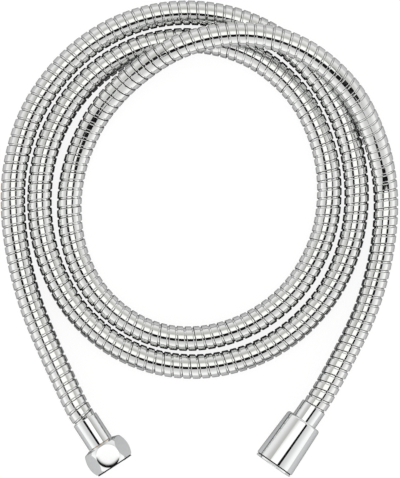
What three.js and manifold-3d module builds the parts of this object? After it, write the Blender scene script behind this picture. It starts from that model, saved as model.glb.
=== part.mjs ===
// Flexible metal shower hose, 2 m long over its nuts, lying in a loose coil of about three turns.
// A spiral-wound steel strip guards a rubber tube. At each end a barbed brass tail sits in the
// tube under a pressed ferrule, and carries a swivel nut for a G 1/2 pipe thread: a hexagonal
// nut at one end, a conical one at the other. A rubber washer lies in each nut.
// Millimetres, +Z up. The coil lies on Z = 0 with the origin at its middle.

import * as THREE from 'three';
import { mergeVertices } from 'three/addons/utils/BufferGeometryUtils.js';
import Module from 'manifold-3d';

// Hose section, from the outside in
const HOSE_RADIUS = 8;
const STRIP_DEPTH = 1.6;
const TUBE_WALL = 1.2;
const TUBE_CLEARANCE = 0.6;
const CLEARANCE = 0.3;

// Ferrules: the strip is pressed down to a thin neck where a ferrule covers it
const PRESSED_WALL = 1;
const FERRULE_WALL = 0.95;
const FERRULE_FRONT_WALL = 1.5;
const FERRULE_EDGE = 0.4;
const HEX_FERRULE_LENGTH = 18.8;
const CONE_FERRULE_LENGTH = 28;

// Barbed tails: a barb's crest and its fall, and the plain neck behind the last, in pitches
const BARB_DEPTH = 0.4;
const BARB_PITCH = 4;
const BARB_CREST_AT = 0.8;
const BARB_FALL = 0.05;
const LEAD_IN = 0.5;
const SPIGOT_WALL = 0.7;
const NECK_STEP = 1.6;
const FLANGE_THICKNESS = 2;
const MOUTH_CHAMFER = 1;

// Washers and the thread in the nuts, whose crests are 18.6 mm apart on G 1/2
const WASHER_THICKNESS = 2;
const WASHER_BORE_RADIUS = 5.5;
const THREAD_RADIUS = 9.3;
const THREAD_CHAMFER = 0.8;

// Hexagonal nut: six flats on a ball, so each flat is a round disc
const HEX_WALL = 3.7;
const HEX_LENGTH = 17;
const HEX_BALL_CENTRE = 8.8;
const HEX_REAR_RADIUS = 9.2;
const HEX_REAR_BEVEL = 1.3;
const HEX_FRONT_BEVEL = 0.6;
const HEX_BACK_WALL = 3.2;

// Conical nut
const CONE_LENGTH = 35.4;
const CONE_WALL = 4.25;
const CONE_TAPER = 1.35;
const CONE_WEB = 2.7;
const CONE_THREAD_DEPTH = 15.6;
const CONE_SHOULDER = 1.6;
const CONE_RIM_LENGTH = 1.2;
const CONE_RIM_STEP = 0.35;

// Where each ferrule's mouth lies on the floor plan, and which way its nut points, in degrees
const HEX_MOUTH = [-74.8, -117.1];
const HEX_HEADING = -57;
const CONE_MOUTH = [74, -109];
const CONE_HEADING = -125;

// The hose leaves each ferrule straight for this length
const STRAIGHT_LEAD = 8;

// How far a cut runs out of what it cuts
const CUT_CLEAR = 1;

// Facets
const HOSE_STEPS = 80;
const HOSE_SIDES = 12;
const TUBE_SIDES = 10;
const TURNED_SIDES = 24;
const BALL_SIDES = 36;
const BALL_SLICES = 8;
const SHOULDER_SLICES = 4;

// The free hose's route from the hexagonal nut to the conical one: x, y, and the height of the
// hose above the floor in hose diameters. The last turn crosses over two others at the far side.
const ROUTE = [
  [-90.9, -86.5, 0.16],
  [-102.9, -59.9, 0.03],
  [-110.6, -39.9, 0],
  [-117.7, -12.3, 0],
  [-121.3, 15.6, 0],
  [-120.5, 43.9, 0],
  [-112.8, 73.6, 0],
  [-101.8, 94.6, 0],
  [-86.5, 113.6, 0],
  [-69.1, 128.2, 0],
  [-49.3, 138.9, 0],
  [-27.9, 145.3, 0],
  [-5.2, 147.0, 0],
  [17.8, 143.9, 0],
  [37.5, 136.9, 0],
  [54.6, 126.9, 0],
  [69.3, 113.7, 0],
  [81.7, 97.8, 0],
  [92.8, 76.9, 0],
  [99.6, 52.5, 0],
  [101.8, 26.0, 0],
  [97.9, -2.0, 0],
  [85.4, -31.8, 0],
  [64.3, -56.8, 0],
  [40.2, -72.7, 0],
  [17.2, -80.4, 0],
  [-6.5, -82.9, 0],
  [-33.8, -78.5, 0],
  [-60.0, -65.6, 0],
  [-81.5, -45.0, 0],
  [-95.6, -20.1, 0],
  [-102.7, 4.6, 0],
  [-104.2, 30.6, 0],
  [-99.8, 57.5, 0],
  [-89.0, 82.0, 0],
  [-75.1, 100.2, 0],
  [-58.3, 114.3, 0],
  [-38.3, 124.4, 0],
  [-18.7, 128.7, 0],
  [1.3, 128.5, 0],
  [21.6, 124.1, 0],
  [41.6, 114.3, 0],
  [61.9, 95.9, 0],
  [75.0, 74.2, 0],
  [82.7, 48.8, 0],
  [83.7, 22.1, 0],
  [78.5, -2.1, 0],
  [64.7, -28.0, 0],
  [46.5, -46.2, 0],
  [24.4, -58.5, 0],
  [-0.7, -64.5, 0],
  [-26.0, -62.6, 0],
  [-49.3, -52.0, 0],
  [-68.5, -33.4, 0],
  [-80.5, -9.7, 0],
  [-85.0, 20.2, 0],
  [-80.9, 49.0, 0],
  [-69.2, 75.9, 0.12],
  [-55.3, 94.2, 0.38],
  [-37.7, 109.9, 0.71],
  [-18.6, 122.1, 0.97],
  [1.8, 129.5, 1.05],
  [25.9, 132.6, 1.08],
  [47.0, 130.0, 1.08],
  [67.6, 121.7, 1.06],
  [86.3, 107.9, 0.93],
  [101.5, 89.9, 0.69],
  [113.9, 63.7, 0.27],
  [119.9, 38.2, 0],
  [120.5, 12.3, 0],
  [116.4, -16.6, 0],
  [107.8, -45.8, 0],
  [96.3, -70.5, 0.04],
];

// Sizes that follow from the driving dimensions
const SPIRAL_BORE = HOSE_RADIUS - STRIP_DEPTH;
const TUBE_RADIUS = SPIRAL_BORE - TUBE_CLEARANCE;
const TUBE_BORE = TUBE_RADIUS - TUBE_WALL;
const PRESSED_RADIUS = SPIRAL_BORE + PRESSED_WALL;
const FERRULE_BORE = PRESSED_RADIUS + CLEARANCE;
const FERRULE_RADIUS = FERRULE_BORE + FERRULE_WALL;
const BARB_RADIUS = TUBE_BORE * Math.cos(Math.PI / TUBE_SIDES) - CLEARANCE;
const TAIL_BORE = BARB_RADIUS - BARB_DEPTH - SPIGOT_WALL;
const NECK_RADIUS = HOSE_RADIUS - NECK_STEP;
const NECK_HOLE = NECK_RADIUS + CLEARANCE;
const FLANGE_RADIUS = THREAD_RADIUS - CLEARANCE;
const HEX_FLAT = THREAD_RADIUS + HEX_WALL;
const HEX_CORNER = HEX_FLAT / Math.cos(Math.PI / 6);
const CONE_LARGE = THREAD_RADIUS + CONE_WALL;
const CONE_SMALL = CONE_LARGE - CONE_TAPER;

const wasm = await Module();
wasm.setup();

// A closed three.js geometry as a solid for cuts and joins
function toSolid(geometry) {
  const shell = geometry.clone();
  shell.deleteAttribute('normal');
  shell.deleteAttribute('uv');
  const merged = mergeVertices(shell, 1e-4);
  return new wasm.Manifold(new wasm.Mesh({
    numProp: 3,
    vertProperties: Float32Array.from(merged.attributes.position.array),
    triVerts: Uint32Array.from(merged.index.array),
  }));
}

function toGeometry(solid) {
  const mesh = solid.getMesh();
  const geometry = new THREE.BufferGeometry();
  geometry.setAttribute('position', new THREE.BufferAttribute(mesh.vertProperties, mesh.numProp));
  geometry.setIndex(new THREE.BufferAttribute(mesh.triVerts, 1));
  geometry.computeVertexNormals();
  return geometry;
}

// A turned piece about the Y axis. The outline lists [radius, y] pairs and closes on itself.
function turned(outline) {
  const points = [...outline, outline[0]].map(([radius, y]) => new THREE.Vector2(radius, y));
  return new THREE.LatheGeometry(points, TURNED_SIDES);
}

function finish(color, roughness, metalness) {
  return new THREE.MeshStandardMaterial({ color, roughness, metalness });
}

const chrome = finish(0xe4e6e6, 0.08, 1);
const steel = finish(0xd9dbda, 0.16, 1);
const brass = finish(0xc9a25a, 0.3, 1);
const rubber = finish(0x1c1c1d, 0.8, 0);
const tubeRubber = finish(0xd8d6cf, 0.6, 0);

function piece(name, geometry, material, y = 0) {
  const mesh = new THREE.Mesh(geometry, material);
  mesh.name = name;
  mesh.position.y = y;
  return mesh;
}

// Distances along a fitting's axis from the ferrule's mouth towards the free end
function stations(ferruleLength, shoulder) {
  const hoseEnd = ferruleLength - FERRULE_FRONT_WALL - 2 * CLEARANCE;
  const flange = shoulder + CLEARANCE;
  const washer = flange + FLANGE_THICKNESS + CLEARANCE;
  return { hoseEnd, flange, washer };
}

// A pressed sleeve over the end of the hose, its front wall turned in behind the tail's neck
function ferruleGeometry(length) {
  return turned([
    [FERRULE_BORE, 0],
    [FERRULE_RADIUS - FERRULE_EDGE, 0],
    [FERRULE_RADIUS, FERRULE_EDGE],
    [FERRULE_RADIUS, length - FERRULE_EDGE],
    [FERRULE_RADIUS - FERRULE_EDGE, length],
    [NECK_HOLE, length],
    [NECK_HOLE, length - FERRULE_FRONT_WALL],
    [FERRULE_BORE, length - FERRULE_FRONT_WALL],
  ]);
}

// A tail: a barbed spigot in the tube, a neck through the nut and a flange inside the nut
function tailGeometry(ferruleLength, at) {
  const neck = at.hoseEnd + CLEARANCE;
  const front = at.flange + FLANGE_THICKNESS;
  const barbs = Math.floor((ferruleLength - FERRULE_FRONT_WALL) / BARB_PITCH) - 1;
  const tip = neck - (barbs + LEAD_IN) * BARB_PITCH;
  const valley = BARB_RADIUS - BARB_DEPTH;
  const outline = [[TAIL_BORE, tip], [valley - BARB_DEPTH / 2, tip]];
  for (let i = 0; i < barbs; i += 1) {
    const crest = tip + (i + BARB_CREST_AT) * BARB_PITCH;
    outline.push([BARB_RADIUS, crest], [valley, crest + BARB_FALL * BARB_PITCH]);
  }
  outline.push(
    [valley, neck],
    [NECK_RADIUS, neck],
    [NECK_RADIUS, at.flange],
    [FLANGE_RADIUS, at.flange],
    [FLANGE_RADIUS, front],
    [TAIL_BORE + MOUTH_CHAMFER, front],
    [TAIL_BORE, front - MOUTH_CHAMFER],
  );
  return turned(outline);
}

function washerGeometry() {
  return turned([
    [WASHER_BORE_RADIUS, 0],
    [FLANGE_RADIUS, 0],
    [FLANGE_RADIUS, WASHER_THICKNESS],
    [WASHER_BORE_RADIUS, WASHER_THICKNESS],
  ]);
}

function lathe(outline, sides) {
  return new THREE.LatheGeometry(outline.map(([radius, y]) => new THREE.Vector2(radius, y)), sides);
}

// The ball that the flats are milled on, bevelled at both ends
function ballOutline() {
  const outline = [[0, 0], [HEX_REAR_RADIUS, 0]];
  const span = HEX_LENGTH - HEX_REAR_BEVEL - HEX_FRONT_BEVEL;
  for (let i = 0; i <= BALL_SLICES; i += 1) {
    const y = HEX_REAR_BEVEL + (span * i) / BALL_SLICES;
    outline.push([Math.sqrt(HEX_CORNER ** 2 - (y - HEX_BALL_CENTRE) ** 2), y]);
  }
  const [frontRadius] = outline[outline.length - 1];
  outline.push([frontRadius - HEX_FRONT_BEVEL, HEX_LENGTH], [0, HEX_LENGTH]);
  return outline;
}

function hexNutGeometry() {
  const corners = [];
  for (let i = 0; i < 6; i += 1) {
    const angle = (i * Math.PI) / 3;
    corners.push(new THREE.Vector2(HEX_CORNER * Math.cos(angle), HEX_CORNER * Math.sin(angle)));
  }
  const prism = new THREE.ExtrudeGeometry(new THREE.Shape(corners), {
    depth: HEX_LENGTH,
    bevelEnabled: false,
  });
  prism.rotateX(-Math.PI / 2);
  const hole = lathe([
    [0, -CUT_CLEAR],
    [NECK_HOLE, -CUT_CLEAR],
    [NECK_HOLE, HEX_BACK_WALL],
    [THREAD_RADIUS, HEX_BACK_WALL],
    [THREAD_RADIUS, HEX_LENGTH - THREAD_CHAMFER],
    [THREAD_RADIUS + THREAD_CHAMFER + CUT_CLEAR, HEX_LENGTH + CUT_CLEAR],
    [0, HEX_LENGTH + CUT_CLEAR],
  ], TURNED_SIDES);
  const ball = lathe(ballOutline(), BALL_SIDES);
  return toGeometry(toSolid(prism).intersect(toSolid(ball)).subtract(toSolid(hole)));
}

function coneNutGeometry() {
  const rearBore = FERRULE_RADIUS + CLEARANCE;
  const web = CONE_LENGTH - CONE_THREAD_DEPTH - CONE_WEB;
  const slope = CONE_TAPER / (CONE_LENGTH - CONE_RIM_LENGTH);
  const outline = [[rearBore, 0]];
  for (let i = 0; i <= SHOULDER_SLICES; i += 1) {
    const angle = (Math.PI / 2) * (i / SHOULDER_SLICES);
    const drop = CONE_SHOULDER * (1 - Math.sin(angle));
    const along = CONE_SHOULDER * (1 - Math.cos(angle));
    outline.push([CONE_SMALL + slope * along - drop, along]);
  }
  outline.push(
    [CONE_LARGE, CONE_LENGTH - CONE_RIM_LENGTH],
    [CONE_LARGE - CONE_RIM_STEP, CONE_LENGTH - CONE_RIM_LENGTH],
    [CONE_LARGE - 2 * CONE_RIM_STEP, CONE_LENGTH],
    [THREAD_RADIUS + THREAD_CHAMFER, CONE_LENGTH],
    [THREAD_RADIUS, CONE_LENGTH - THREAD_CHAMFER],
    [THREAD_RADIUS, web + CONE_WEB],
    [NECK_HOLE, web + CONE_WEB],
    [NECK_HOLE, web],
    [rearBore, web],
  );
  return turned(outline);
}

// A fitting's group stands at its ferrule's mouth with local Y along its axis
function fittingGroup(mouth, height, heading, tilt) {
  const turn = THREE.MathUtils.degToRad(heading);
  const axis = new THREE.Vector3(
    Math.cos(turn) * Math.cos(tilt),
    Math.sin(turn) * Math.cos(tilt),
    Math.sin(tilt),
  );
  const group = new THREE.Group();
  group.position.set(mouth[0], mouth[1], height);
  group.quaternion.setFromUnitVectors(new THREE.Vector3(0, 1, 0), axis);
  group.updateMatrixWorld(true);
  return group;
}

// The hexagonal nut rests on one of its faces, so its axis lies level
const hexAt = stations(HEX_FERRULE_LENGTH, HEX_FERRULE_LENGTH + CLEARANCE + HEX_BACK_WALL);
const hexEnd = fittingGroup(HEX_MOUTH, HEX_FLAT, HEX_HEADING, 0);
hexEnd.add(
  piece('hex_end_ferrule', ferruleGeometry(HEX_FERRULE_LENGTH), chrome),
  piece('hex_end_tail', tailGeometry(HEX_FERRULE_LENGTH, hexAt), brass),
  piece('hex_nut', hexNutGeometry(), chrome, HEX_FERRULE_LENGTH + CLEARANCE),
  piece('hex_nut_washer', washerGeometry(), rubber, hexAt.washer),
);

// The conical nut rests along its side, so its axis rises towards the free end
const coneTilt = Math.atan(CONE_TAPER / (CONE_LENGTH - CONE_RIM_LENGTH));
const coneWeb = CONE_FERRULE_LENGTH + CLEARANCE;
const coneAt = stations(CONE_FERRULE_LENGTH, coneWeb + CONE_WEB);
const coneStart = coneWeb - (CONE_LENGTH - CONE_THREAD_DEPTH - CONE_WEB);
const coneWidest = coneStart + CONE_LENGTH - CONE_RIM_LENGTH;
const coneHeight = CONE_LARGE * Math.cos(coneTilt) - coneWidest * Math.sin(coneTilt);
const coneEnd = fittingGroup(CONE_MOUTH, coneHeight, CONE_HEADING, coneTilt);
coneEnd.add(
  piece('cone_end_ferrule', ferruleGeometry(CONE_FERRULE_LENGTH), chrome),
  piece('cone_end_tail', tailGeometry(CONE_FERRULE_LENGTH, coneAt), brass),
  piece('cone_nut', coneNutGeometry(), chrome, coneStart),
  piece('cone_nut_washer', washerGeometry(), rubber, coneAt.washer),
);

// The hose's axis runs straight inside both ferrules, and through the route between them
function onAxis(group, distance) {
  return group.localToWorld(new THREE.Vector3(0, distance, 0));
}

const path = new THREE.CatmullRomCurve3([
  onAxis(hexEnd, hexAt.hoseEnd),
  onAxis(hexEnd, hexAt.hoseEnd / 2),
  onAxis(hexEnd, 0),
  onAxis(hexEnd, -STRAIGHT_LEAD),
  ...ROUTE.map(([x, y, lift]) => new THREE.Vector3(x, y, HOSE_RADIUS * (1 + 2 * lift))),
  onAxis(coneEnd, -STRAIGHT_LEAD),
  onAxis(coneEnd, 0),
  onAxis(coneEnd, coneAt.hoseEnd / 2),
  onAxis(coneEnd, coneAt.hoseEnd),
], false, 'centripetal');
path.arcLengthDivisions = 4000;

function ring(radius, sides) {
  const points = [];
  for (let i = 0; i < sides; i += 1) {
    const angle = (2 * Math.PI * i) / sides;
    points.push(new THREE.Vector2(radius * Math.cos(angle), radius * Math.sin(angle)));
  }
  return points;
}

// A hollow run along the hose's axis
function hoseGeometry(outer, bore, sides) {
  const section = new THREE.Shape(ring(outer, sides));
  section.holes.push(new THREE.Path(ring(bore, sides)));
  return new THREE.ExtrudeGeometry(section, {
    steps: HOSE_STEPS,
    extrudePath: path,
    bevelEnabled: false,
  });
}

// What the press takes off the strip where a ferrule covers it
function pressedRing(group, length) {
  const geometry = turned([
    [PRESSED_RADIUS, -CLEARANCE],
    [2 * HOSE_RADIUS, -CLEARANCE],
    [2 * HOSE_RADIUS, length + CUT_CLEAR],
    [PRESSED_RADIUS, length + CUT_CLEAR],
  ]);
  geometry.applyMatrix4(group.matrixWorld);
  return toSolid(geometry);
}

const spiral = toSolid(hoseGeometry(HOSE_RADIUS, SPIRAL_BORE, HOSE_SIDES))
  .subtract(pressedRing(hexEnd, hexAt.hoseEnd))
  .subtract(pressedRing(coneEnd, coneAt.hoseEnd));

const hose = new THREE.Group();
hose.add(
  piece('steel_spiral', toGeometry(spiral), steel),
  piece('inner_tube', hoseGeometry(TUBE_RADIUS, TUBE_BORE, TUBE_SIDES), tubeRubber),
  hexEnd,
  coneEnd,
);
hose.updateMatrixWorld(true);

export default hose;
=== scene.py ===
# %% [markdown]
# # A metal shower hose in a loose coil
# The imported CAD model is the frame: it fixes every size and place, and these cells dress it.
# The hose lies in about three turns on a white table and is seen from straight above. Most of
# it is one long strip of bright steel wound in a spiral, with a plated nut at each end.

import math

import bpy
import numpy as np
from mathutils import Matrix, Vector


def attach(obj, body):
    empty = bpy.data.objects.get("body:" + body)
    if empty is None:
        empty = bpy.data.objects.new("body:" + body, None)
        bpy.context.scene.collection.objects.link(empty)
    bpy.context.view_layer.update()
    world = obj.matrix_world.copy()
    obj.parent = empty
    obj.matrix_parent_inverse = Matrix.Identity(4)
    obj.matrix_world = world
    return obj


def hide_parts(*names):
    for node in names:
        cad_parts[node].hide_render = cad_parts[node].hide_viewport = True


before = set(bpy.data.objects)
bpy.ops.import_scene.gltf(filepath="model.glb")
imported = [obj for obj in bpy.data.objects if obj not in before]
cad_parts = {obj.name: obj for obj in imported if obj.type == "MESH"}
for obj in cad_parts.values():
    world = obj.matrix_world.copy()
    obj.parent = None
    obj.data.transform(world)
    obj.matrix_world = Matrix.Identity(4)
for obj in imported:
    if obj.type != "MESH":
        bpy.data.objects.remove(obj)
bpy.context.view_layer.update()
MM = 0.001
print("CAD pieces:", sorted(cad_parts))

# %% [markdown]
# ## The camera
# The photograph looks straight down from far away: the bright and dark bands lie at the same
# places on every strand, which a near camera wouldn't show. One pixel of its 400 covers
# 0.65 mm at the hose's own level.

# %% Camera
CAMERA_HEIGHT = 4.0
PICTURE_WIDTH = 0.26
SENSOR = 36.0
HOSE_RADIUS = 8.0

lens = SENSOR * (CAMERA_HEIGHT - HOSE_RADIUS * MM) / PICTURE_WIDTH
camera_data = bpy.data.cameras.new("camera")
camera_data.sensor_fit = "HORIZONTAL"
camera_data.sensor_width = SENSOR
camera_data.lens = lens
camera_data.clip_end = 20.0
camera = bpy.data.objects.new("camera", camera_data)
camera.location = (0.0, 0.0, CAMERA_HEIGHT)
bpy.context.scene.collection.objects.link(camera)
bpy.context.scene.camera = camera
print(f"lens {lens:.1f} mm")

# %% [markdown]
# ## The hose's route
# The hose is a fixed length of something flexible, so its line comes first: a smooth curve
# through points that are read off the coil, straight inside both ferrules. The last turn
# climbs over two others at the far side. The curve is a centripetal Catmull-Rom spline, the
# same one that the solids follow, so the dressed hose lies exactly where they are.

# %% Route of the hose
HEX_MOUTH = (-74.8, -117.1, 13.0)
HEX_HEADING = -57.0
CONE_MOUTH = (74.0, -109.0)
CONE_HEADING = -125.0
# The conical nut lies on the table along its side, which tilts its end of the hose
CONE_START = 11.2
CONE_LENGTH = 35.4
CONE_RIM = 1.2
CONE_SMALL = 12.2
CONE_LARGE = 13.55
CONE_WIDEST = CONE_START + CONE_LENGTH - CONE_RIM
CONE_SLOPE = (CONE_LARGE - CONE_SMALL) / (CONE_LENGTH - CONE_RIM)
CONE_TILT = math.atan(CONE_SLOPE)
STRAIGHT_LEAD = 8.0
HEX_INSERT = 16.7
CONE_INSERT = 25.9

ROUTE = [
    (-90.9, -86.5, 0.16), (-102.9, -59.9, 0.03), (-110.6, -39.9, 0), (-117.7, -12.3, 0),
    (-121.3, 15.6, 0), (-120.5, 43.9, 0), (-112.8, 73.6, 0), (-101.8, 94.6, 0),
    (-86.5, 113.6, 0), (-69.1, 128.2, 0), (-49.3, 138.9, 0), (-27.9, 145.3, 0),
    (-5.2, 147.0, 0), (17.8, 143.9, 0), (37.5, 136.9, 0), (54.6, 126.9, 0),
    (69.3, 113.7, 0), (81.7, 97.8, 0), (92.8, 76.9, 0), (99.6, 52.5, 0),
    (101.8, 26.0, 0), (97.9, -2.0, 0), (85.4, -31.8, 0), (64.3, -56.8, 0),
    (40.2, -72.7, 0), (17.2, -80.4, 0), (-6.5, -82.9, 0), (-33.8, -78.5, 0),
    (-60.0, -65.6, 0), (-81.5, -45.0, 0), (-95.6, -20.1, 0), (-102.7, 4.6, 0),
    (-104.2, 30.6, 0), (-99.8, 57.5, 0), (-89.0, 82.0, 0), (-75.1, 100.2, 0),
    (-58.3, 114.3, 0), (-38.3, 124.4, 0), (-18.7, 128.7, 0), (1.3, 128.5, 0),
    (21.6, 124.1, 0), (41.6, 114.3, 0), (61.9, 95.9, 0), (75.0, 74.2, 0),
    (82.7, 48.8, 0), (83.7, 22.1, 0), (78.5, -2.1, 0), (64.7, -28.0, 0),
    (46.5, -46.2, 0), (24.4, -58.5, 0), (-0.7, -64.5, 0), (-26.0, -62.6, 0),
    (-49.3, -52.0, 0), (-68.5, -33.4, 0), (-80.5, -9.7, 0), (-85.0, 20.2, 0),
    (-80.9, 49.0, 0.0), (-69.2, 75.9, 0.12), (-55.3, 94.2, 0.38), (-37.7, 109.9, 0.71),
    (-18.6, 122.1, 0.97), (1.8, 129.5, 1.05), (25.9, 132.6, 1.08), (47.0, 130.0, 1.08),
    (67.6, 121.7, 1.06), (86.3, 107.9, 0.93), (101.5, 89.9, 0.69), (113.9, 63.7, 0.27),
    (119.9, 38.2, 0.0), (120.5, 12.3, 0), (116.4, -16.6, 0), (107.8, -45.8, 0),
    (96.3, -70.5, 0.04),
]


def heading(degrees, tilt):
    """The unit vector of a fitting's axis, from the hose towards the nut's free end."""
    turn = math.radians(degrees)
    level = math.cos(tilt)
    return Vector((math.cos(turn) * level, math.sin(turn) * level, math.sin(tilt)))


cone_height = CONE_LARGE * math.cos(CONE_TILT) - CONE_WIDEST * math.sin(CONE_TILT)
hex_mouth = Vector(HEX_MOUTH)
hex_axis = heading(HEX_HEADING, 0.0)
cone_mouth = Vector((*CONE_MOUTH, cone_height))
cone_axis = heading(CONE_HEADING, CONE_TILT)

route = [hex_mouth + hex_axis * d for d in (HEX_INSERT, HEX_INSERT / 2, 0.0, -STRAIGHT_LEAD)]
route += [Vector((x, y, HOSE_RADIUS * (1 + 2 * lift))) for x, y, lift in ROUTE]
route += [cone_mouth + cone_axis * d for d in (-STRAIGHT_LEAD, 0.0, CONE_INSERT / 2, CONE_INSERT)]


def centripetal(points, per_span):
    """A centripetal Catmull-Rom curve through the points, as a dense polyline."""
    pts = [np.array(p) for p in points]
    pts = [2 * pts[0] - pts[1], *pts, 2 * pts[-1] - pts[-2]]
    line = []
    for p0, p1, p2, p3 in zip(pts, pts[1:], pts[2:], pts[3:]):
        d0, d1, d2 = (math.sqrt(np.linalg.norm(b - a)) for a, b in ((p0, p1), (p1, p2), (p2, p3)))
        m1 = ((p1 - p0) / d0 - (p2 - p0) / (d0 + d1) + (p2 - p1) / d1) * d1
        m2 = ((p2 - p1) / d1 - (p3 - p1) / (d1 + d2) + (p3 - p2) / d2) * d1
        t = np.linspace(0, 1, per_span, endpoint=False)[:, None]
        line.append(
            (2 * t**3 - 3 * t**2 + 1) * p1
            + (t**3 - 2 * t**2 + t) * m1
            + (3 * t**2 - 2 * t**3) * p2
            + (t**3 - t**2) * m2
        )
    return np.vstack([*line, pts[-2][None]])


SPAN_STEPS = 40
line = centripetal(route, SPAN_STEPS)
along = np.concatenate([[0], np.cumsum(np.linalg.norm(np.diff(line, axis=0), axis=1))])
HOSE_LENGTH = along[-1]
print(f"hose with its ends in the ferrules: {HOSE_LENGTH:.0f} mm")

# %% [markdown]
# ## The spiral strip
# The real hose is a narrow strip of stainless steel, folded along both edges and wound so
# that each turn hooks into the last. From outside each turn shows a thin dark seam, a narrow
# lower band, a steep step and a wide raised band. The raised band is flat along the hose, which
# is why each turn mirrors one clean square of the lamp.
# A mesh tube made of separate rings would lose the spiral. Here the grid's rows are slanted
# by one pitch for each time round, so the last column joins the first one row-set further
# on, and the seam runs round the hose as one unbroken helix.

# %% Profile of one turn of the strip
PITCH = 5.78
SIDES = 24
PRESSED_RADIUS = 7.4
BORE_RADIUS = 6.4
# Place along one pitch, from seam to seam, and radius in mm
STRIP = [
    (0.0, 6.6), (0.025, 6.6), (0.04, 7.02), (0.175, 7.02), (0.235, 7.88), (0.27, 8.0),
    (0.3, 8.0), (0.89, 8.0), (0.92, 8.0), (0.955, 7.88), (0.98, 6.6),
]
# Rows below this radius get painted shade in the seam
SEAM_RADIUS = 6.7
BORE_RINGS = 90
PRESSED_OVER = 0.4
CUT_END = 6.0
CUT_END_OVER = 3.0
CREASE = math.radians(40)

# %% Tube along the route
tangents = np.gradient(line, along, axis=0)
tangents /= np.linalg.norm(tangents, axis=1)[:, None]


def at(s, values):
    """Values that belong to the line's points, read at the lengths s."""
    return np.stack([np.interp(s, along, values[:, k]) for k in range(3)], axis=-1)


def tube_points(s, angle, radius):
    """Points round the route: a length along it, an angle round it, and a radius."""
    centre = at(s, line)
    ahead = at(s, tangents)
    ahead /= np.linalg.norm(ahead, axis=-1, keepdims=True)
    side = np.stack([-ahead[..., 1], ahead[..., 0], np.zeros_like(s)], axis=-1)
    side /= np.linalg.norm(side, axis=-1, keepdims=True)
    up = np.cross(ahead, side)
    around = side * np.cos(angle)[..., None] + up * np.sin(angle)[..., None]
    return centre + around * radius[..., None]


def strip_radius(radius, s):
    """Presses the strip down where a ferrule grips it, and rounds it off at its cut ends."""
    past_mouth = np.minimum(s - HEX_INSERT, HOSE_LENGTH - CONE_INSERT - s)
    visible = np.clip(past_mouth / PRESSED_OVER, 0, 1)
    cut_end = np.clip((np.minimum(s, HOSE_LENGTH - s) - CUT_END) / CUT_END_OVER, 0, 1)
    pressed = np.minimum(radius, PRESSED_RADIUS)
    pressed = PRESSED_RADIUS + (pressed - PRESSED_RADIUS) * cut_end
    return pressed + (radius - pressed) * visible


turns = math.ceil(HOSE_LENGTH / PITCH) + 2
phase = np.concatenate([np.array([p for p, _ in STRIP]) + t for t in range(-1, turns)])
rows = len(phase)
angle = 2 * math.pi * np.arange(SIDES) / SIDES
s = np.clip(PITCH * (phase[:, None] + np.arange(SIDES)[None] / SIDES), 0, HOSE_LENGTH)
radius = strip_radius(np.tile([r for _, r in STRIP], turns + 1)[:, None] + 0 * s, s)
outer = tube_points(s, angle[None] + 0 * s, radius)

inner_s = np.linspace(0, HOSE_LENGTH, BORE_RINGS)[:, None] + 0 * angle[None]
inner = tube_points(inner_s, angle[None] + 0 * inner_s, 0 * inner_s + BORE_RADIUS)

i, j = np.meshgrid(np.arange(rows - 1), np.arange(SIDES - 1), indexing="ij")
corner = (i * SIDES + j).ravel()
quads = np.stack([corner, corner + 1, corner + SIDES + 1, corner + SIDES], axis=1)
wrap = np.arange(rows - 1 - len(STRIP)) * SIDES + SIDES - 1
next_turn = wrap - (SIDES - 1) + len(STRIP) * SIDES
wrap_quads = np.stack([wrap, next_turn, next_turn + SIDES, wrap + SIDES], axis=1)

base = rows * SIDES
i, j = np.meshgrid(np.arange(BORE_RINGS - 1), np.arange(SIDES), indexing="ij")
here = (base + i * SIDES + j).ravel()
beside = (base + i * SIDES + (j + 1) % SIDES).ravel()
inner_quads = np.stack([here, here + SIDES, beside + SIDES, beside], axis=1)

ring = np.arange(SIDES)
beside = (ring + 1) % SIDES
start_cap = np.stack([ring, base + ring, base + beside, beside], axis=1)
last_row = (rows - 1) * SIDES
last_ring = base + (BORE_RINGS - 1) * SIDES
end_cap = np.stack(
    [last_row + beside, last_ring + beside, last_ring + ring, last_row + ring], axis=1
)
faces = np.vstack([quads, wrap_quads, inner_quads, start_cap, end_cap])
points = np.vstack([outer.reshape(-1, 3), inner.reshape(-1, 3)]) * MM

mesh = bpy.data.meshes.new("spiral_hose")
mesh.from_pydata(points.tolist(), [], faces.tolist())
mesh.update()
# The seam's rows are marked for painted shade, which the material paints dark and dull.
seam_shade_mask = np.tile([float(r < SEAM_RADIUS) for _, r in STRIP], turns + 1)[:, None] + 0 * s
shade_marks = np.concatenate([seam_shade_mask.ravel(), np.zeros(inner.size // 3)])
mesh.attributes.new("seam", "FLOAT", "POINT").data.foreach_set("value", shade_marks)
spiral_hose = bpy.data.objects.new("spiral_hose", mesh)
bpy.context.scene.collection.objects.link(spiral_hose)

# %% Close the hose's cut ends
bpy.ops.object.select_all(action="DESELECT")
bpy.context.view_layer.objects.active = spiral_hose
spiral_hose.select_set(True)
bpy.ops.object.mode_set(mode="EDIT")
bpy.ops.mesh.select_all(action="SELECT")
bpy.ops.mesh.remove_doubles(threshold=0.002 * MM)
bpy.ops.mesh.dissolve_degenerate(threshold=0.001 * MM)
bpy.ops.mesh.normals_make_consistent(inside=False)
bpy.ops.object.mode_set(mode="OBJECT")
bpy.ops.object.shade_smooth_by_angle(angle=CREASE)
triangles = sum(len(p.vertices) - 2 for p in mesh.polygons)
print(f"spiral hose: {triangles} triangles")

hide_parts("steel_spiral")
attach(spiral_hose, "hose")

# %% [markdown]
# ## Placing the fittings
# Every fitting is turned about one axis. It is made standing at the origin with its axis up
# and its ferrule's mouth at zero, where the operators are easy to aim, and is then laid along
# the hose's end. Its place goes into its mesh, so its object stays at the origin.

# %% Helpers for the fittings


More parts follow.
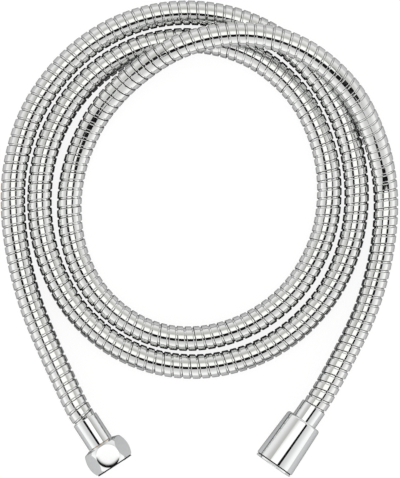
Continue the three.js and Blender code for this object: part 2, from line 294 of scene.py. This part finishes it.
def lying(mouth, axis):
    """The matrix that lays an upright fitting along an axis, its local Y facing up."""
    up = (Vector((0, 0, 1)) - axis * axis.z).normalized()
    side = up.cross(axis)
    turn = Matrix((side, up, axis)).transposed().to_4x4()
    return Matrix.Translation(mouth * MM) @ turn


hex_place = lying(hex_mouth, hex_axis)
cone_place = lying(cone_mouth, cone_axis)


def only(piece):
    """Selects one object and nothing else."""
    bpy.ops.object.select_all(action="DESELECT")
    piece.select_set(True)
    bpy.context.view_layer.objects.active = piece


def turned(name, outline, solid=False, sides=96):
    """A turned piece. A circle is extruded and resized from ring to ring of its outline,
    which comes back to its start, or for a solid piece is closed by a face at both ends."""
    bpy.ops.object.select_all(action="DESELECT")
    start = outline[0]
    fill = "NGON" if solid else "NOTHING"
    bpy.ops.mesh.primitive_circle_add(vertices=sides, radius=start[0] * MM, fill_type=fill)
    piece = bpy.context.object
    piece.name = name
    bpy.ops.object.mode_set(mode="EDIT")
    bpy.ops.mesh.select_mode(type="VERT")
    bpy.ops.mesh.select_all(action="SELECT")
    bpy.ops.transform.translate(value=(0, 0, start[1] * MM))
    rings = outline if solid else [*outline, start]
    for (r0, z0), (r1, z1) in zip(rings, rings[1:]):
        step = (0, 0, (z1 - z0) * MM)
        bpy.ops.mesh.extrude_region_move(TRANSFORM_OT_translate={"value": step})
        grow = r1 / r0
        bpy.ops.transform.resize(value=(grow, grow, 1), center_override=(0, 0, z1 * MM))
    bpy.ops.mesh.select_all(action="SELECT")
    bpy.ops.mesh.remove_doubles(threshold=0.001 * MM)
    bpy.ops.mesh.normals_make_consistent(inside=False)
    bpy.ops.object.mode_set(mode="OBJECT")
    return piece


def soften(piece, width, segments=3, angle=25):
    """Rounds the edges of a piece by a width in mm. The faces beside them stay flat, because
    their normals are hardened: a bent normal would bend every reflection in them."""
    only(piece)
    bpy.ops.object.shade_smooth_by_angle(angle=math.radians(angle))
    bevel = piece.modifiers.new("edges", "BEVEL")
    bevel.width = width * MM
    bevel.segments = segments
    bevel.limit_method = "ANGLE"
    bevel.angle_limit = math.radians(angle)
    bevel.harden_normals = True
    bpy.ops.object.modifier_apply(modifier=bevel.name)


HAIR = 0.01
# How far below and above a groove's floor the painted shade reaches
SHADE_BELOW = 0.1
SHADE_ABOVE = 0.3


def paint_groove_shade(piece, low, high, floor):
    """Marks the floor of a groove, between two heights, for painted shade like a seam's."""
    shade_marks = []
    for vertex in piece.data.vertices:
        above = math.hypot(vertex.co.x, vertex.co.y) / MM - floor
        inside = low - HAIR <= vertex.co.z / MM <= high + HAIR
        shade_marks.append(float(inside and -SHADE_BELOW <= above <= SHADE_ABOVE))
    piece.data.attributes.new("seam", "FLOAT", "POINT").data.foreach_set("value", shade_marks)


def lay(piece, place, node, body):
    """Puts a finished fitting in its place, for a CAD node of the same form."""
    piece.data.transform(place)
    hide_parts(node)
    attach(piece, body)


# %% [markdown]
# ## Ferrules
# A ferrule is a short brass tube, plated, that is pressed over the hose's end and grips it
# against the tail. Its mouth is rounded so that it doesn't cut the strip, and its front is
# turned in behind the nut. It is turned from its outline, and its edges are rounded after.

# %% Ferrules
FERRULE_RADIUS = 8.65
FERRULE_BORE = 7.7
FERRULE_FRONT = 1.5
NECK_HOLE = 6.7


def ferrule(name, length):
    piece = turned(
        name,
        [
            (FERRULE_BORE, 0.0),
            (FERRULE_RADIUS, 0.0),
            (FERRULE_RADIUS, length),
            (NECK_HOLE, length),
            (NECK_HOLE, length - FERRULE_FRONT),
            (FERRULE_BORE, length - FERRULE_FRONT),
        ],
    )
    soften(piece, 0.35)
    return piece


HEX_FERRULE = 18.8
CONE_FERRULE = 28.0
hex_ferrule = ferrule("hex_end_sleeve", HEX_FERRULE)
lay(hex_ferrule, hex_place, "hex_end_ferrule", "hose")
cone_ferrule = ferrule("cone_end_sleeve", CONE_FERRULE)
lay(cone_ferrule, cone_place, "cone_end_ferrule", "hose")

# %% [markdown]
# ## Pipe thread
# Both nuts screw on to a G 1/2 thread, 14 turns to the inch. The ridge of the thread is a
# blunt tooth that a Screw modifier sweeps up the bore. It starts as a plane, which is stood
# on edge and has its inner side narrowed, and its root sinks into the nut's wall.

# %% Thread
THREAD_PITCH = 1.814
THREAD_ROOT = 10.45
THREAD_CREST = 9.3
TOOTH_SINK = 0.15
TOOTH_FOOT = 0.95
TOOTH_TIP = 0.25
HEX_THREAD_AT = 4.2
HEX_THREAD_TURNS = 4
CONE_THREAD_AT = 5.2
CONE_THREAD_TURNS = 5


def thread(name, bottom, turns_of_thread):
    """A helical ridge inside a bore, from a height upwards."""
    bpy.ops.object.select_all(action="DESELECT")
    bpy.ops.mesh.primitive_plane_add(size=1.0, rotation=(math.pi / 2, 0, 0))
    ridge = bpy.context.object
    ridge.name = name
    bpy.ops.object.transform_apply(location=False, rotation=True, scale=False)
    deep = THREAD_ROOT - THREAD_CREST + TOOTH_SINK
    bpy.ops.object.mode_set(mode="EDIT")
    bpy.ops.mesh.select_all(action="SELECT")
    bpy.ops.transform.resize(value=(deep * MM, 1, TOOTH_FOOT * THREAD_PITCH * MM))
    middle = (THREAD_CREST + deep / 2) * MM
    bpy.ops.transform.translate(value=(middle, 0, bottom * MM))
    bpy.ops.mesh.delete(type="ONLY_FACE")
    bpy.ops.object.mode_set(mode="OBJECT")
    for vertex in ridge.data.vertices:
        vertex.select = vertex.co.x < middle
    for edge in ridge.data.edges:
        edge.select = all(ridge.data.vertices[v].select for v in edge.vertices)
    bpy.ops.object.mode_set(mode="EDIT")
    bpy.ops.transform.resize(value=(1, 1, TOOTH_TIP), center_override=(0, 0, bottom * MM))
    bpy.ops.object.mode_set(mode="OBJECT")
    screw = ridge.modifiers.new("screw", "SCREW")
    screw.axis = "Z"
    screw.screw_offset = THREAD_PITCH * MM
    screw.iterations = turns_of_thread
    screw.steps = 64
    screw.render_steps = 64
    bpy.ops.object.modifier_apply(modifier=screw.name)
    bpy.ops.object.mode_set(mode="EDIT")
    bpy.ops.mesh.select_all(action="SELECT")
    bpy.ops.mesh.fill_holes(sides=4)
    bpy.ops.mesh.normals_make_consistent(inside=False)
    bpy.ops.object.mode_set(mode="OBJECT")
    bpy.ops.object.shade_smooth_by_angle(angle=math.radians(30))
    return ridge


def join(body, extra):
    """Adds a piece to another, as one object."""
    only(extra)
    body.select_set(True)
    bpy.context.view_layer.objects.active = body
    bpy.ops.object.join()
    return body


# %% [markdown]
# ## Hexagonal nut
# The nut starts as a ball. Each of its six flats is cut straight across it, and a plane cuts
# a ball in a circle, so every flat is a round disc that just meets its neighbours. The
# polishing wheel rounds each disc off towards its rim. The cutter is turned hollow by that
# much, so that it leaves the disc flat in the middle and rounded near its rim. A narrow groove
# runs round the nut just before its free end.

# %% Helper for cutting


def carve(piece, operation, outline, turn=None):
    """Cuts a turned hole out of a piece, or trims it to a turned solid."""
    cutter = turned("cutter", outline, solid=True)
    if turn:
        cutter.data.transform(turn)
    only(piece)
    boolean = piece.modifiers.new("turned", "BOOLEAN")
    boolean.operation = operation
    boolean.solver = "EXACT"
    boolean.object = cutter
    bpy.ops.object.modifier_apply(modifier=boolean.name)
    bpy.data.objects.remove(cutter)


# %% Ball with six flats
HEX_START = 19.1
HEX_LENGTH = 17.0
HEX_BALL_CENTRE = 8.8
HEX_FLAT = 13.0
HEX_BACK_WALL = 3.2
HEX_REAR_BEVEL = 1.3
HEX_REAR_RADIUS = 9.2
HEX_FRONT_BEVEL = 0.4
HEX_GROOVE = 0.7
# A flat falls away with the eighth power of the radius, and reaches past the disc's rim
DISC_DOME = 3.2e-9
DISC_RINGS = [2.5, 4.0, 5.0, 5.8, 6.5, 7.1, 7.7, 8.5]
CLEAR = 1.0

ball_radius = HEX_FLAT / math.cos(math.pi / 6)
rear = -HEX_BALL_CENTRE
front = HEX_LENGTH - HEX_BALL_CENTRE

bpy.ops.object.select_all(action="DESELECT")
bpy.ops.mesh.primitive_uv_sphere_add(segments=144, ring_count=72, radius=ball_radius * MM)
hex_body = bpy.context.object
hex_body.name = "hexagonal_nut"
outside = ball_radius + CLEAR
hollow = [(r, HEX_FLAT - DISC_DOME * r**8) for r in DISC_RINGS]
hollow += [(DISC_RINGS[-1], outside), (CLEAR, outside)]
for k in range(6):
    turn = Matrix.Rotation(math.pi * k / 3, 4, "Z") @ Matrix.Rotation(math.pi / 2, 4, "X")
    carve(hex_body, "DIFFERENCE", hollow, turn)

# %% Bevels and bore of the hexagonal nut
THREAD_CHAMFER = 1.2
groove = front - HEX_FRONT_BEVEL - HEX_GROOVE
ball_front = math.sqrt(ball_radius**2 - groove**2)
groove_floor = ball_front - HEX_GROOVE
carve(
    hex_body,
    "INTERSECT",
    [
        (HEX_REAR_RADIUS, rear),
        (HEX_FLAT, rear + HEX_REAR_BEVEL),
        (ball_radius + CLEAR, rear + HEX_REAR_BEVEL + CLEAR),
        (ball_radius + CLEAR, groove),
        (groove_floor, groove),
        (groove_floor, front - HEX_FRONT_BEVEL),
        (ball_front - HEX_FRONT_BEVEL / 2, front - HEX_FRONT_BEVEL),
        (ball_front - HEX_FRONT_BEVEL, front),
    ],
)
carve(
    hex_body,
    "DIFFERENCE",
    [
        (NECK_HOLE, rear - CLEAR),
        (NECK_HOLE, rear + HEX_BACK_WALL),
        (THREAD_ROOT, rear + HEX_BACK_WALL),
        (THREAD_ROOT, front - THREAD_CHAMFER / 2),
        (THREAD_ROOT + THREAD_CHAMFER / 2 + CLEAR, front + CLEAR),
    ],
)
soften(hex_body, 0.1, segments=2, angle=16)
# The groove's floor gets painted shade, dark like the hose's seams.
paint_groove_shade(hex_body, groove, groove + HEX_GROOVE, groove_floor)
hex_body.data.transform(Matrix.Translation((0, 0, (HEX_START - rear) * MM)))
hex_thread_at = HEX_START + HEX_BACK_WALL + HEX_THREAD_AT
hex_thread = thread("hex_thread", hex_thread_at, HEX_THREAD_TURNS)
hex_nut = join(hex_body, hex_thread)
lay(hex_nut, hex_place, "hex_nut", "hex_swivel_nut")

# %% [markdown]
# ## Conical nut
# The other nut is turned all over and gripped by hand. It widens a little towards its free
# end, where a narrow groove parts off a rim that is set back, and its rear end is rounded. The
# rounding is part of its outline, because it is larger than the edges that the Bevel modifier
# softens.

# %% Conical nut
CONE_RIM_STEP = 0.35
CONE_GROOVE = 0.7
CONE_GROOVE_DEPTH = 0.9
CONE_SHOULDER = 1.6
CONE_WEB_AT = 28.3
CONE_WEB = 2.7
CONE_REAR_BORE = 8.95

cone_end = CONE_START + CONE_LENGTH
rim_start = CONE_WIDEST
groove_start = rim_start - CONE_GROOVE
groove_floor = CONE_LARGE - CONE_GROOVE_DEPTH
cone_outline = [(CONE_REAR_BORE, CONE_START)]
ARC_STEPS = 8
for k in range(ARC_STEPS + 1):
    bend = math.pi / 2 * k / ARC_STEPS
    ahead = CONE_SHOULDER * (1 - math.cos(bend))
    drop = CONE_SHOULDER * (1 - math.sin(bend))
    cone_outline.append((CONE_SMALL + CONE_SLOPE * ahead - drop, CONE_START + ahead))
cone_outline += [
    (CONE_LARGE, groove_start),
    (groove_floor, groove_start),
    (groove_floor, rim_start),
    (CONE_LARGE - CONE_RIM_STEP, rim_start),
    (CONE_LARGE - 2 * CONE_RIM_STEP, cone_end),
    (THREAD_ROOT + THREAD_CHAMFER / 2, cone_end),
    (THREAD_ROOT, cone_end - THREAD_CHAMFER / 2),
    (THREAD_ROOT, CONE_WEB_AT + CONE_WEB),
    (NECK_HOLE, CONE_WEB_AT + CONE_WEB),
    (NECK_HOLE, CONE_WEB_AT),
    (CONE_REAR_BORE, CONE_WEB_AT),
]
cone_body = turned("conical_nut", cone_outline)
soften(cone_body, 0.1)
# The groove's floor gets painted shade, dark like the hose's seams.
paint_groove_shade(cone_body, groove_start, rim_start, groove_floor)
cone_thread_at = CONE_WEB_AT + CONE_WEB + CONE_THREAD_AT
cone_thread = thread("cone_thread", cone_thread_at, CONE_THREAD_TURNS)
cone_nut = join(cone_body, cone_thread)
lay(cone_nut, cone_place, "cone_nut", "cone_swivel_nut")

# %% [markdown]
# ## Tails and washers
# A tail is what the water runs through: a brass spigot with barbs that hold in the rubber
# tube, a neck that the nut turns on, and a flange that the nut pulls against. A soft rubber
# washer lies on the flange and seals it against the pipe. Only the flange and the washer are
# seen, deep in each nut, but the whole piece is turned so that a cut view is right too.

# %% Tails and washers
SPIGOT_CREST = 4.075
BARB_DEPTH = 0.4
BARB_PITCH = 4.0
TAIL_BORE = 2.975
NECK_RADIUS = 6.4
FLANGE_RADIUS = 9.0
FLANGE = 2.0
WASHER = 2.0
WASHER_BORE = 5.5
GAP = 0.3
MOUTH_CHAMFER = 1.0
BARB_RISE = 0.8
BARB_FALL = 0.85


def tail(name, ferrule_length, hose_end, shoulder):
    neck = hose_end + GAP
    flange = shoulder + GAP
    top = flange + FLANGE
    barbs = int((ferrule_length - FERRULE_FRONT) / BARB_PITCH) - 1
    tip = neck - (barbs + 0.5) * BARB_PITCH
    valley = SPIGOT_CREST - BARB_DEPTH
    outline = [(TAIL_BORE, tip), (valley - BARB_DEPTH / 2, tip)]
    for k in range(barbs):
        start = tip + k * BARB_PITCH
        outline.append((SPIGOT_CREST, start + BARB_RISE * BARB_PITCH))
        outline.append((valley, start + BARB_FALL * BARB_PITCH))
    outline += [
        (valley, neck),
        (NECK_RADIUS, neck),
        (NECK_RADIUS, flange),
        (FLANGE_RADIUS, flange),
        (FLANGE_RADIUS, top),
        (TAIL_BORE + MOUTH_CHAMFER, top),
        (TAIL_BORE, top - MOUTH_CHAMFER),
    ]
    piece = turned(name, outline, sides=64)
    soften(piece, 0.08, segments=2)
    return piece, top + GAP


def washer(name, bottom):
    piece = turned(
        name,
        [
            (WASHER_BORE, bottom),
            (FLANGE_RADIUS, bottom),
            (FLANGE_RADIUS, bottom + WASHER),
            (WASHER_BORE, bottom + WASHER),
        ],
    )
    soften(piece, 0.3)
    return piece


hex_tail, washer_at = tail("hex_end_spigot", HEX_FERRULE, HEX_INSERT, HEX_START + HEX_BACK_WALL)
hex_washer = washer("hex_nut_seal", washer_at)
cone_tail, washer_at = tail("cone_end_spigot", CONE_FERRULE, CONE_INSERT, CONE_WEB_AT + CONE_WEB)
cone_washer = washer("cone_nut_seal", washer_at)
lay(hex_tail, hex_place, "hex_end_tail", "hose")
lay(hex_washer, hex_place, "hex_nut_washer", "hex_swivel_nut")
lay(cone_tail, cone_place, "cone_end_tail", "hose")
lay(cone_washer, cone_place, "cone_nut_washer", "cone_swivel_nut")

# %% [markdown]
# ## The hose's ends
# The hose leaves the first ferrule and ends in the second one.

# %% [markdown]
# ## Finishes
# Bright metal has almost no colour of its own: it shows the room. What makes it look real is
# its roughness, which is low and a little uneven where it was polished and handled. One
# function turns a hex colour, as a paint chart gives it, to the linear values that the
# renderer adds up, and one adds a node with its settings and links.

# %% Helpers for materials


def linear(code):
    """A linear colour from an sRGB hex code."""
    values = [int(code[k : k + 2], 16) / 255 for k in (1, 3, 5)]
    curve = [v / 12.92 if v <= 0.04045 else ((v + 0.055) / 1.055) ** 2.4 for v in values]
    return (*curve, 1.0)


def add(tree, kind, settings=None, **inputs):
    """Adds a node. An input is a value or another node's output; _ stands for a space."""
    made = tree.nodes.new(kind)
    for key, value in (settings or {}).items():
        setattr(made, key, value)
    for key, value in inputs.items():
        name = int(key[1:]) if key[1:].isdigit() else key.replace("_", " ")
        if isinstance(value, bpy.types.NodeSocket):
            tree.links.new(value, made.inputs[name])
        else:
            made.inputs[name].default_value = value
    return made


def material(name):
    """An empty node material and its output."""
    made = bpy.data.materials.new(name)
    made.use_nodes = True
    made.node_tree.nodes.clear()
    return made, made.node_tree, made.node_tree.nodes.new("ShaderNodeOutputMaterial")


def dress(made, *pieces):
    for piece in pieces:
        piece.data.materials.clear()
        piece.data.materials.append(made)


# %% Bright metals


def bright_metal(name, colour, low, high, smear_mm, grain_mm, grain_depth_mm, seam=False):
    """A polished metal. Its roughness wanders between two values over handling smears, and a
    fine grain is left by the polishing. The bottom of a seam is painted dull and dark: painted
    shade."""
    made, tree, output = material(name)
    place = add(tree, "ShaderNodeTexCoord").outputs["Object"]
    smear = add(tree, "ShaderNodeTexNoise", Vector=place, Scale=1000 / smear_mm, Detail=3.0)
    rough = add(tree, "ShaderNodeMapRange", Value=smear.outputs[0], To_Min=low, To_Max=high)
    grain = add(tree, "ShaderNodeTexNoise", Vector=place, Scale=1000 / grain_mm, Detail=2.0)
    bump = add(
        tree, "ShaderNodeBump", Height=grain.outputs[0], Distance=grain_depth_mm * MM, Strength=1.0
    )
    shader = add(
        tree,
        "ShaderNodeBsdfPrincipled",
        Base_Color=linear(colour),
        Metallic=1.0,
        Roughness=rough.outputs[0],
        Normal=bump.outputs[0],
    )
    if seam:
        # Painted shade: the bottom of a seam is painted a dark dull colour.
        painted_shade = add(tree, "ShaderNodeBsdfDiffuse", Color=linear("#2B2A28"), Roughness=1.0)
        deep = add(tree, "ShaderNodeAttribute", {"attribute_name": "seam"}).outputs["Fac"]
        shader = add(
            tree, "ShaderNodeMixShader", _0=deep, _1=shader.outputs[0], _2=painted_shade.outputs[0]
        )
    tree.links.new(shader.outputs[0], output.inputs[0])
    return made


strip_steel = bright_metal(
    "stainless_strip_bright_rolled", "#E3E4E3", 0.04, 0.1, 9.0, 0.6, 0.001, seam=True
)
chrome = bright_metal(
    "chrome_plate_on_brass", "#E6E7E8", 0.02, 0.06, 12.0, 1.5, 0.0006, seam=True
)
turned_brass = bright_metal("turned_brass", "#C9A65A", 0.18, 0.3, 4.0, 0.3, 0.002)
dress(strip_steel, spiral_hose)
dress(chrome, hex_ferrule, cone_ferrule, hex_nut, cone_nut)
dress(turned_brass, hex_tail, cone_tail)


# %% Rubbers


def moulded_rubber(name, colour, worn, grain_mm):
    """Matt moulded rubber, paler where it is dusty, with the mould's fine grain."""
    made, tree, output = material(name)
    place = add(tree, "ShaderNodeTexCoord").outputs["Object"]
    dust = add(tree, "ShaderNodeTexNoise", Vector=place, Scale=1000 / 3.0, Detail=4.0)
    tint = add(
        tree,
        "ShaderNodeMix",
        {"data_type": "RGBA"},
        Factor=dust.outputs[0],
        _6=linear(colour),
        _7=linear(worn),
    )
    grain = add(tree, "ShaderNodeTexNoise", Vector=place, Scale=1000 / grain_mm, Detail=2.0)
    bump = add(tree, "ShaderNodeBump", Height=grain.outputs[0], Distance=0.02 * MM, Strength=1.0)
    shader = add(
        tree,
        "ShaderNodeBsdfPrincipled",
        Base_Color=tint.outputs[2],
        Roughness=0.75,
        Normal=bump.outputs[0],
    )
    tree.links.new(shader.outputs[0], output.inputs[0])
    return made


washer_rubber = moulded_rubber("epdm_rubber_black", "#1B1B1C", "#2A2A2B", 0.25)
tube_rubber = moulded_rubber("tpe_tube_natural", "#D2CFC6", "#DEDBD3", 0.5)
dress(washer_rubber, hex_washer, cone_washer)
dress(tube_rubber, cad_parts["inner_tube"])

# %% [markdown]
# ## The studio
# Chrome is a picture of its room, so the room matters more than the metal. The hose was
# photographed in a white tent under one broad lamp with a dark frame along its near edge.
# The world stands for the tent: it is a function of direction only, so it slides with no
# camera. A direction is told by how far it leans from straight up, to the side and towards the
# far side. What the camera sees directly is plain white.

# %% World


def rise(tree, value, low, high):
    """0 below one value and 1 above the other, with a smooth step between them."""
    settings = {"interpolation_type": "SMOOTHSTEP"}
    return add(
        tree, "ShaderNodeMapRange", settings, Value=value, From_Min=low, From_Max=high
    ).outputs[0]


def math_node(tree, operation, a, b=0.0):
    return add(tree, "ShaderNodeMath", {"operation": operation}, _0=a, _1=b).outputs[0]


def patch(tree, x, half_width, y, low, high, blur=0.02):
    """1 in a patch of the sky: x below its half width, and y between two values."""
    above = rise(tree, y, low, low + blur)
    within_y = math_node(tree, "MULTIPLY", above, rise(tree, y, high, high - blur))
    return math_node(tree, "MULTIPLY", within_y, rise(tree, x, half_width, half_width - blur))


# The lamp's frame bows towards the far side at both ends, and hangs a little to the right
LAMP_SHIFT = 0.04
FRAME_BOW = 0.5

world = bpy.data.worlds.new("white_tent")
bpy.context.scene.world = world
world.use_nodes = True
sky = world.node_tree
sky.nodes.clear()
direction = add(sky, "ShaderNodeTexCoord").outputs["Generated"]
axes = add(sky, "ShaderNodeSeparateXYZ", Vector=direction).outputs
level = math_node(sky, "MAXIMUM", axes[2], 0.02)
right = math_node(sky, "DIVIDE", axes[0], level)
across = math_node(sky, "ABSOLUTE", math_node(sky, "SUBTRACT", right, LAMP_SHIFT))
away = math_node(sky, "DIVIDE", axes[1], level)
bow = math_node(sky, "MULTIPLY", math_node(sky, "MULTIPLY", across, across), FRAME_BOW)
bowed = math_node(sky, "SUBTRACT", away, bow)

FAR_WALL = linear("#CCCBC7")
FAR_WALL_LOW = (1.0, 0.995, 0.985, 1.0)
NEAR_WALL = linear("#E6E6E5")
NEAR_WALL_LOW = (1.2, 1.2, 1.19, 1.0)
LAMP_WHITE = (1.3, 1.3, 1.27, 1.0)
DARK = (0.01, 0.01, 0.01, 1.0)

low_sky = rise(sky, axes[2], 0.85, 0.25)
far_wall = add(
    sky, "ShaderNodeMix", {"data_type": "RGBA"}, Factor=low_sky, _6=FAR_WALL, _7=FAR_WALL_LOW
).outputs[2]
near_wall = add(
    sky, "ShaderNodeMix", {"data_type": "RGBA"}, Factor=low_sky, _6=NEAR_WALL, _7=NEAR_WALL_LOW
).outputs[2]
to_far = rise(sky, axes[1], -0.05, 0.35)
tent = add(
    sky, "ShaderNodeMix", {"data_type": "RGBA"}, Factor=to_far, _6=near_wall, _7=far_wall
).outputs[2]
# The lamp, cut off along its near edge, where its frame begins
lamp = math_node(
    sky,
    "MULTIPLY",
    math_node(sky, "MULTIPLY", rise(sky, across, 0.48, 0.42), rise(sky, away, 0.75, 0.28)),
    rise(sky, bowed, -0.06, -0.04),
)
lit = add(
    sky, "ShaderNodeMix", {"data_type": "RGBA"}, Factor=lamp, _6=tent, _7=LAMP_WHITE
).outputs[2]
# The frame's near bar and its two side bars, and a dark stand before its middle
near_bar = patch(sky, across, 0.7, bowed, -0.32, -0.055)
side_bar = math_node(
    sky,
    "MULTIPLY",
    math_node(sky, "MULTIPLY", rise(sky, across, 0.68, 0.6), rise(sky, across, 0.44, 0.46)),
    math_node(sky, "MULTIPLY", rise(sky, bowed, -0.28, -0.26), rise(sky, away, 0.5, 0.05)),
)
stand = patch(sky, across, 0.2, away, -0.5, -0.035)
bars = math_node(sky, "MAXIMUM", math_node(sky, "MAXIMUM", near_bar, stand), side_bar)
room = add(sky, "ShaderNodeMix", {"data_type": "RGBA"}, Factor=bars, _6=lit, _7=DARK).outputs[2]
room_light = add(sky, "ShaderNodeBackground", Color=room, Strength=1.0)
backdrop = add(sky, "ShaderNodeBackground", Color=(1.0, 1.0, 1.0, 1.0), Strength=1.0)
seen = add(sky, "ShaderNodeLightPath").outputs["Is Camera Ray"]
chosen = add(
    sky, "ShaderNodeMixShader", _0=seen, _1=room_light.outputs[0], _2=backdrop.outputs[0]
)
world_output = add(sky, "ShaderNodeOutputWorld")
sky.links.new(chosen.outputs[0], world_output.inputs[0])

# %% Table
TABLE = 8.0
TABLE_DROP = 0.2
bpy.ops.object.select_all(action="DESELECT")
bpy.ops.mesh.primitive_plane_add(size=TABLE, location=(0, 0, -TABLE_DROP * MM))
table = bpy.context.object
table.name = "table"
white, tree, output = material("white_table")
matt = add(tree, "ShaderNodeBsdfDiffuse", Color=(0.8, 0.8, 0.8, 1.0))
faint = add(tree, "ShaderNodeBsdfDiffuse", Color=(0.2, 0.2, 0.2, 1.0))
glow = add(tree, "ShaderNodeEmission", Color=(1.0, 1.0, 1.0, 1.0), Strength=0.88)
shown = add(tree, "ShaderNodeAddShader", _0=faint.outputs[0], _1=glow.outputs[0])
# In metal the table shows as a glow with painted shade: it dims near the hose by the square of its
# ambient occlusion.
open_air = add(tree, "ShaderNodeAmbientOcclusion", {"samples": 4}, Distance=60 * MM).outputs["AO"]
fall_off = math_node(tree, "POWER", open_air, 2.0)
glow_with_painted_shade = add(tree, "ShaderNodeEmission", Color=(1.0, 1.0, 1.0, 1.0))
tree.links.new(math_node(tree, "MULTIPLY", fall_off, 0.72), glow_with_painted_shade.inputs["Strength"])
ray = add(tree, "ShaderNodeLightPath").outputs
in_metal = add(
    tree, "ShaderNodeMixShader", _0=ray["Is Glossy Ray"], _1=matt.outputs[0], _2=glow_with_painted_shade.outputs[0]
)
mixed = add(
    tree, "ShaderNodeMixShader", _0=ray["Is Camera Ray"], _1=in_metal.outputs[0], _2=shown.outputs[0]
)
tree.links.new(mixed.outputs[0], output.inputs[0])
dress(white, table)

bpy.context.scene.view_settings.view_transform = "Standard"
